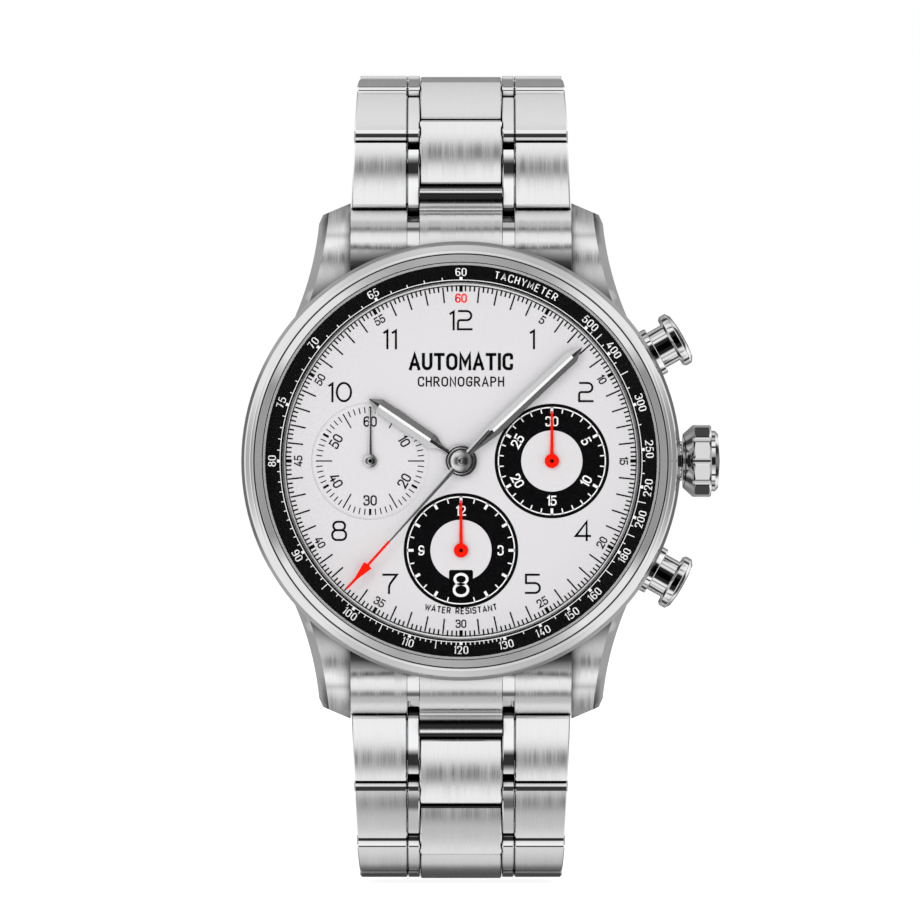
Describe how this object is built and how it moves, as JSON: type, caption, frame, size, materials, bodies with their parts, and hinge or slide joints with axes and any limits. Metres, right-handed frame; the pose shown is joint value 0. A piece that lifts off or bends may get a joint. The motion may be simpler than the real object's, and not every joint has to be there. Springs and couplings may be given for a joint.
{
  "type": "chronograph wristwatch",
  "caption": "Round steel chronograph wristwatch with sub-dials, tachymeter ring, crown, pushers, linked bracelet and folding clasp.",
  "frame": {"origin": "centre of the flat outer face of the back that rests on the wrist", "axes": "+X to 3 o'clock, +Z to 12 o'clock, dial facing -Y, bracelet loop on +Y"},
  "size_m": [0.0481, 0.0524, 0.0826],
  "materials": {
    "brushed_steel": "satin brushed along the length",
    "polished_steel": "mirror polished",
    "sapphire": "clear, anti-reflective",
    "dial_silver": "matt silver-white lacquer",
    "scale_black": "satin black lacquer with white scale",
    "hand_steel": "polished",
    "hand_red": "red lacquer",
    "brass": "gilt",
    "movement_nickel": "striped and circular-grained nickel plate",
    "ruby": "polished synthetic ruby",
    "gasket": "moulded seal",
    "gasket_clear": "translucent white seal",
    "spring_steel": "blued spring steel",
    "blued_screw": "polished and blued"
  },
  "bodies": {
    "head": {"case_middle": "brushed_steel", "bezel": "polished_steel", "crystal": "sapphire", "crystal_gasket": "gasket_clear", "tachymeter_ring": "scale_black", "dial": "dial_silver", "movement_ring": "movement_nickel", "main_plate": "movement_nickel", "bridges": "movement_nickel", "jewels": "ruby", "movement_screws": "blued_screw", "hairspring": "spring_steel", "case_back": "brushed_steel", "case_back_window": "sapphire", "case_back_gasket": "gasket", "case_tubes": "polished_steel", "spring_bars": "brushed_steel", "pusher_springs": "spring_steel", "end_link_12": "brushed_steel", "end_link_6": "brushed_steel"},
    "minute_hand": {"minute_hand": "hand_steel"},
    "hour_hand": {"hour_hand": "hand_steel"},
    "date_ring": {"date_ring": "scale_black"},
    "running_seconds": {"running_seconds_hand": "hand_steel", "fourth_wheel": "brass"},
    "third_wheel": {"third_wheel": "brass"},
    "centre_wheel": {"centre_wheel": "brass"},
    "barrel": {"barrel": "brass"},
    "escape_wheel": {"escape_wheel": "polished_steel"},
    "chrono_seconds_hand": {"chrono_seconds_hand": "hand_red"},
    "minute_counter_hand": {"minute_counter_hand": "hand_red"},
    "hour_counter_hand": {"hour_counter_hand": "hand_red"},
    "rotor": {"rotor": "movement_nickel"},
    "balance_wheel": {"balance_wheel": "brass"},
    "pallet_fork": {"pallet_fork": "polished_steel"},
    "winding_pinion": {"winding_pinion": "polished_steel"},
    "crown": {"crown": "polished_steel", "stem": "polished_steel"},
    "pusher_upper": {"pusher_upper": "polished_steel"},
    "pusher_lower": {"pusher_lower": "polished_steel"},
    "link_12_1": {"link_12_1": "brushed_steel"},
    "link_12_2": {"link_12_2": "brushed_steel"},
    "link_12_3": {"link_12_3": "brushed_steel"},
    "link_12_4": {"link_12_4": "brushed_steel"},
    "link_12_5": {"link_12_5": "brushed_steel"},
    "link_12_6": {"link_12_6": "brushed_steel"},
    "link_6_1": {"link_6_1": "brushed_steel"},
    "link_6_2": {"link_6_2": "brushed_steel"},
    "link_6_3": {"link_6_3": "brushed_steel"},
    "link_6_4": {"link_6_4": "brushed_steel"},
    "link_6_5": {"link_6_5": "brushed_steel"},
    "link_6_6": {"link_6_6": "brushed_steel"},
    "link_6_7": {"link_6_7": "brushed_steel"},
    "link_6_8": {"link_6_8": "brushed_steel"},
    "link_6_9": {"link_6_9": "brushed_steel"},
    "clasp_outer_blade": {"clasp_outer_blade": "brushed_steel"},
    "clasp_inner_blade": {"clasp_inner_blade": "brushed_steel"},
    "clasp_cover": {"clasp_cover": "brushed_steel"},
    "clasp_button_left": {"clasp_button_left": "polished_steel"},
    "clasp_button_right": {"clasp_button_right": "polished_steel"}
  },
  "joints": [
    {"name": "minute_hand_turn", "type": "hinge", "parent": "head", "child": "minute_hand", "pos_m": [0, -0.0122, 0], "axis": [0, 1, 0], "continuous": true},
    {"name": "hour_hand_turn", "type": "hinge", "parent": "head", "child": "hour_hand", "pos_m": [0, -0.012, 0], "axis": [0, 1, 0], "continuous": true},
    {"name": "date_ring_turn", "type": "hinge", "parent": "head", "child": "date_ring", "pos_m": [0, -0.011, 0], "axis": [0, 1, 0], "continuous": true},
    {"name": "running_seconds_turn", "type": "hinge", "parent": "head", "child": "running_seconds", "pos_m": [-0.0091, -0.011, 0], "axis": [0, 1, 0], "continuous": true},
    {"name": "third_wheel_turn", "type": "hinge", "parent": "head", "child": "third_wheel", "pos_m": [-0.00599, -0.007, 0.00252], "axis": [0, 1, 0], "continuous": true},
    {"name": "centre_wheel_turn", "type": "hinge", "parent": "head", "child": "centre_wheel", "pos_m": [0, -0.007, 0], "axis": [0, 1, 0], "continuous": true},
    {"name": "barrel_turn", "type": "hinge", "parent": "head", "child": "barrel", "pos_m": [0.005, -0.007, 0.0052], "axis": [0, 1, 0], "continuous": true},
    {"name": "escape_wheel_turn", "type": "hinge", "parent": "head", "child": "escape_wheel", "pos_m": [-0.0098, -0.007, -0.00394], "axis": [0, 1, 0], "continuous": true},
    {"name": "chrono_seconds_turn", "type": "hinge", "parent": "head", "child": "chrono_seconds_hand", "pos_m": [0, -0.0125, 0], "axis": [0, 1, 0], "continuous": true},
    {"name": "minute_counter_turn", "type": "hinge", "parent": "head", "child": "minute_counter_hand", "pos_m": [0.0091, -0.0117, 0], "axis": [0, 1, 0], "continuous": true},
    {"name": "hour_counter_turn", "type": "hinge", "parent": "head", "child": "hour_counter_hand", "pos_m": [0, -0.0117, -0.00895], "axis": [0, 1, 0], "continuous": true},
    {"name": "rotor_turn", "type": "hinge", "parent": "head", "child": "rotor", "pos_m": [0, -0.0034, 0], "axis": [0, 1, 0], "continuous": true},
    {"name": "balance_swing", "type": "hinge", "parent": "head", "child": "balance_wheel", "pos_m": [-0.0036, -0.006, -0.0102], "axis": [0, 1, 0], "range_deg": [-150, 150], "stiffness_Nm_per_rad": 0.0001},
    {"name": "pallet_fork_rock", "type": "hinge", "parent": "head", "child": "pallet_fork", "pos_m": [-0.00769, -0.007, -0.00607], "axis": [0, 1, 0], "range_deg": [-4, 4]},
    {"name": "crown_turn", "type": "hinge", "parent": "head", "child": "winding_pinion", "pos_m": [0.012, -0.0066, 0], "axis": [1, 0, 0], "continuous": true},
    {"name": "crown_pull", "type": "slide", "parent": "winding_pinion", "child": "crown", "axis": [1, 0, 0], "range_m": [0, 0.0012]},
    {"name": "pusher_upper_press", "type": "slide", "parent": "head", "child": "pusher_upper", "axis": [-0.8704, 0, -0.4924], "range_m": [0, 0.0008], "stiffness_N_per_m": 1500, "springref_m": -0.001},
    {"name": "pusher_lower_press", "type": "slide", "parent": "head", "child": "pusher_lower", "axis": [-0.8704, 0, 0.4924], "range_m": [0, 0.0008], "stiffness_N_per_m": 1500, "springref_m": -0.001},
    {"name": "link_12_1_bend", "type": "hinge", "parent": "head", "child": "link_12_1", "pos_m": [0, -0.0032, 0.0262], "axis": [1, 0, 0], "range_deg": [0, 26]},
    {"name": "link_12_2_bend", "type": "hinge", "parent": "link_12_1", "child": "link_12_2", "pos_m": [0, 0.00009, 0.03294], "axis": [1, 0, 0], "range_deg": [0, 36]},
    {"name": "link_12_3_bend", "type": "hinge", "parent": "link_12_2", "child": "link_12_3", "pos_m": [0, 0.00638, 0.03703], "axis": [1, 0, 0], "range_deg": [0, 30]},
    {"name": "link_12_4_bend", "type": "hinge", "parent": "link_12_3", "child": "link_12_4", "pos_m": [0, 0.0138, 0.03807], "axis": [1, 0, 0], "range_deg": [0, 28]},
    {"name": "link_12_5_bend", "type": "hinge", "parent": "link_12_4", "child": "link_12_5", "pos_m": [0, 0.02105, 0.03613], "axis": [1, 0, 0], "range_deg": [0, 28]},
    {"name": "link_12_6_bend", "type": "hinge", "parent": "link_12_5", "child": "link_12_6", "pos_m": [0, 0.02696, 0.03151], "axis": [1, 0, 0], "range_deg": [0, 29]},
    {"name": "link_6_1_bend", "type": "hinge", "parent": "head", "child": "link_6_1", "pos_m": [0, -0.0032, -0.02635], "axis": [1, 0, 0], "range_deg": [-25, 0]},
    {"name": "link_6_2_bend", "type": "hinge", "parent": "link_6_1", "child": "link_6_2", "pos_m": [0, -0.00003, -0.03315], "axis": [1, 0, 0], "range_deg": [-25, 0]},
    {"name": "link_6_3_bend", "type": "hinge", "parent": "link_6_2", "child": "link_6_3", "pos_m": [0, 0.00527, -0.03845], "axis": [1, 0, 0], "range_deg": [-28, 0]},
    {"name": "link_6_4_bend", "type": "hinge", "parent": "link_6_3", "child": "link_6_4", "pos_m": [0, 0.01223, -0.04126], "axis": [1, 0, 0], "range_deg": [-27, 0]},
    {"name": "link_6_5_bend", "type": "hinge", "parent": "link_6_4", "child": "link_6_5", "pos_m": [0, 0.01973, -0.04126], "axis": [1, 0, 0], "range_deg": [-27, 0]},
    {"name": "link_6_6_bend", "type": "hinge", "parent": "link_6_5", "child": "link_6_6", "pos_m": [0, 0.02668, -0.03845], "axis": [1, 0, 0], "range_deg": [-27, 0]},
    {"name": "link_6_7_bend", "type": "hinge", "parent": "link_6_6", "child": "link_6_7", "pos_m": [0, 0.03208, -0.03324], "axis": [1, 0, 0], "range_deg": [-27, 0]},
    {"name": "link_6_8_bend", "type": "hinge", "parent": "link_6_7", "child": "link_6_8", "pos_m": [0, 0.03513, -0.02639], "axis": [1, 0, 0], "range_deg": [-21, 0]},
    {"name": "link_6_9_bend", "type": "hinge", "parent": "link_6_8", "child": "link_6_9", "pos_m": [0, 0.03617, -0.01896], "axis": [1, 0, 0], "range_deg": [-13, 0]},
    {"name": "clasp_end_bend", "type": "hinge", "parent": "link_12_6", "child": "clasp_outer_blade", "pos_m": [0, 0.03048, 0.02489], "axis": [1, 0, 0], "range_deg": [0, 24.1]},
    {"name": "clasp_fold", "type": "hinge", "parent": "clasp_outer_blade", "child": "clasp_inner_blade", "pos_m": [0, 0.03416, -0.00641], "axis": [-1, 0, 0], "range_deg": [0, 130]},
    {"name": "clasp_cover_fold", "type": "hinge", "parent": "clasp_inner_blade", "child": "clasp_cover", "pos_m": [0, 0.03063, 0.02036], "axis": [-1, 0, 0], "range_deg": [-130, 0]},
    {"name": "clasp_button_left_press", "type": "slide", "parent": "clasp_cover", "child": "clasp_button_left", "axis": [1, 0, 0], "range_m": [0, 0.0007], "stiffness_N_per_m": 800, "springref_m": -0.001},
    {"name": "clasp_button_right_press", "type": "slide", "parent": "clasp_cover", "child": "clasp_button_right", "axis": [-1, 0, 0], "range_m": [0, 0.0007], "stiffness_N_per_m": 800, "springref_m": -0.001}
  ],
  "couplings": [
    {"joint": "hour_hand_turn", "follows": "minute_hand_turn", "ratio": 0.083333},
    {"joint": "date_ring_turn", "follows": "minute_hand_turn", "ratio": 0.0013441},
    {"joint": "third_wheel_turn", "follows": "running_seconds_turn", "ratio": -0.13333},
    {"joint": "centre_wheel_turn", "follows": "running_seconds_turn", "ratio": 0.016667},
    {"joint": "barrel_turn", "follows": "running_seconds_turn", "ratio": -0.0027778},
    {"joint": "escape_wheel_turn", "follows": "running_seconds_turn", "ratio": -9},
    {"joint": "minute_counter_turn", "follows": "chrono_seconds_turn", "ratio": 0.033333},
    {"joint": "hour_counter_turn", "follows": "chrono_seconds_turn", "ratio": 0.0013889},
    {"joint": "clasp_cover_fold", "follows": "clasp_fold", "ratio": -1},
    {"joint": "clasp_button_right_press", "follows": "clasp_button_left_press", "ratio": 1}
  ]
}
